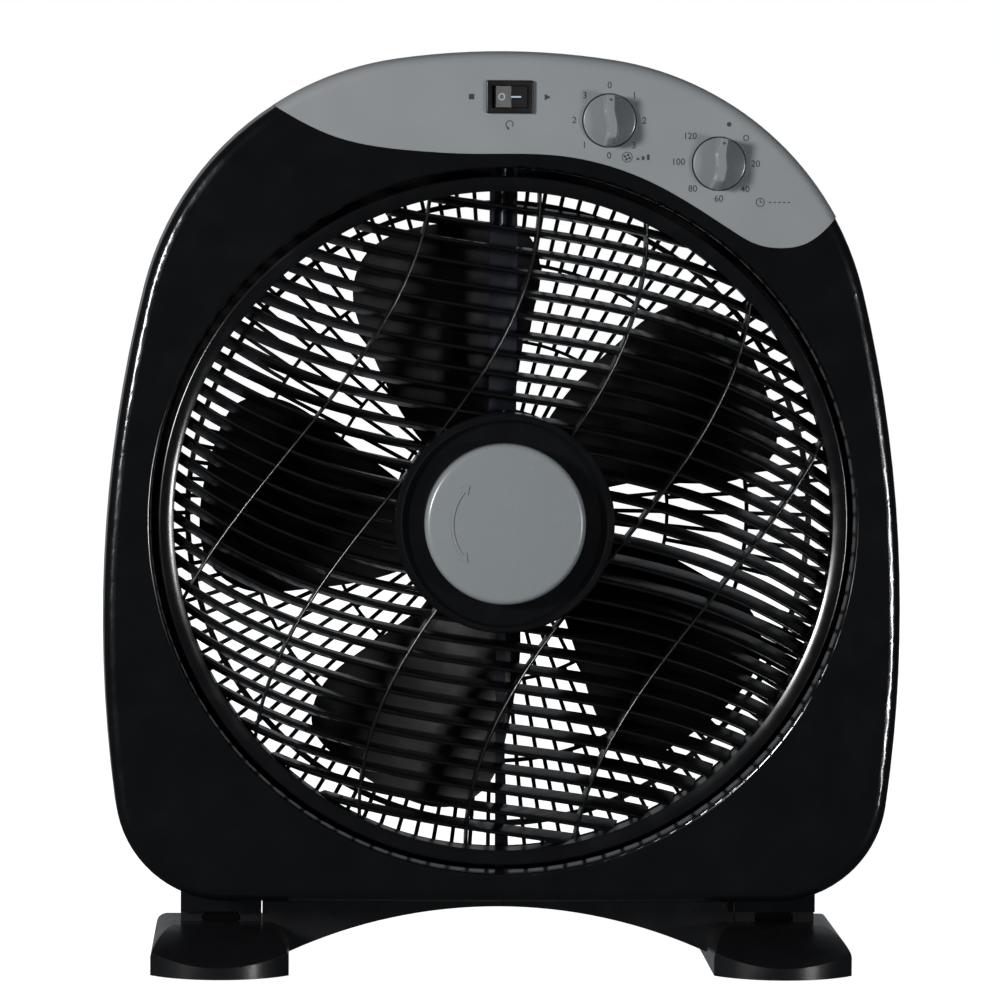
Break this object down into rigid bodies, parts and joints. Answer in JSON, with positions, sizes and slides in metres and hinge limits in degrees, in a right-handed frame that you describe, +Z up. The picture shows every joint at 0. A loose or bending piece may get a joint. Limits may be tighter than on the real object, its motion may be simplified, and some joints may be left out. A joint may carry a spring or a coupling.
{
  "type": "box fan",
  "caption": "Tabletop box fan with a turning louvre wheel, front switch panel, twisted fan blades, dished rear guard and a tilting two-foot stand.",
  "frame": {"origin": "on the floor, midway between the two feet", "axes": "+Z up, +X to the right of a person facing the fan, -Y out of the front of the fan"},
  "size_m": [0.378, 0.15, 0.435],
  "materials": {
    "black_gloss": "glossy moulded ABS",
    "grey_panel": "satin painted ABS",
    "black_matte": "moulded polypropylene",
    "blade_plastic": "moulded blade",
    "steel": "zinc plated",
    "core_steel": "laminated",
    "alloy": "die cast",
    "copper": "enamelled wire",
    "bronze": "sintered",
    "rubber": "soft",
    "white_plastic": "nylon"
  },
  "bodies": {
    "stand": {"left_foot": "black_gloss", "right_foot": "black_gloss", "stand_bridge": "black_gloss", "bridge_screws": "steel", "pivot_pins": "steel", "foot_pads": "rubber", "friction_washers": "steel"},
    "case": {"front_shell": "black_gloss", "rear_shell": "black_gloss", "control_panel": "grey_panel", "rear_guard": "black_matte", "motor_bracket": "black_matte", "wire_cover": "black_matte", "motor_wires": "rubber", "terminal_block": "white_plastic", "bracket_screws": "steel", "motor_front_cap": "alloy", "motor_rear_cap": "alloy", "stator_core": "core_steel", "stator_coils": "copper", "front_bush": "bronze", "rear_bush": "bronze", "motor_bolts": "steel", "motor_nuts": "steel", "louvre_motor": "steel", "louvre_motor_screws": "steel", "guard_screws": "steel", "case_screws": "steel", "panel_screws": "steel", "cord_inlet": "black_matte", "speed_switch": "black_matte", "timer_body": "black_matte", "rocker_housing": "black_gloss", "capacitor": "black_matte"},
    "louvre": {"louvre_wheel": "black_gloss", "louvre_shaft": "steel"},
    "cap": {"hub_cap": "grey_panel"},
    "fan": {"fan_blade": "blade_plastic", "blade_nut": "blade_plastic", "drive_pin": "steel", "motor_shaft": "steel", "rotor": "core_steel"},
    "speed_dial": {"speed_knob": "grey_panel", "speed_shaft": "steel"},
    "timer_dial": {"timer_knob": "grey_panel", "timer_shaft": "steel"},
    "rocker": {"rocker": "black_gloss"}
  },
  "joints": [
    {"name": "body_tilt", "type": "hinge", "parent": "stand", "child": "case", "pos_m": [0, 0, 0.025], "axis": [-1, 0, 0], "range_deg": [-5, 15]},
    {"name": "louvre_spin", "type": "hinge", "parent": "case", "child": "louvre", "pos_m": [0, 0, 0.214], "axis": [0, -1, 0], "continuous": true},
    {"name": "cap_unscrew", "type": "hinge", "parent": "louvre", "child": "cap", "pos_m": [0, 0, 0.214], "axis": [0, -1, 0], "continuous": true},
    {"name": "fan_spin", "type": "hinge", "parent": "case", "child": "fan", "pos_m": [0, 0, 0.214], "axis": [0, 1, 0], "continuous": true},
    {"name": "speed_turn", "type": "hinge", "parent": "case", "child": "speed_dial", "pos_m": [0.048, -0.05, 0.4023], "axis": [0, 1, 0], "continuous": true},
    {"name": "timer_turn", "type": "hinge", "parent": "case", "child": "timer_dial", "pos_m": [0.0995, -0.05, 0.3825], "axis": [0, 1, 0], "range_deg": [0, 315]},
    {"name": "rocker_press", "type": "hinge", "parent": "case", "child": "rocker", "pos_m": [0.0013, -0.0516, 0.413], "axis": [0, 0, -1], "range_deg": [0, 18]}
  ]
}
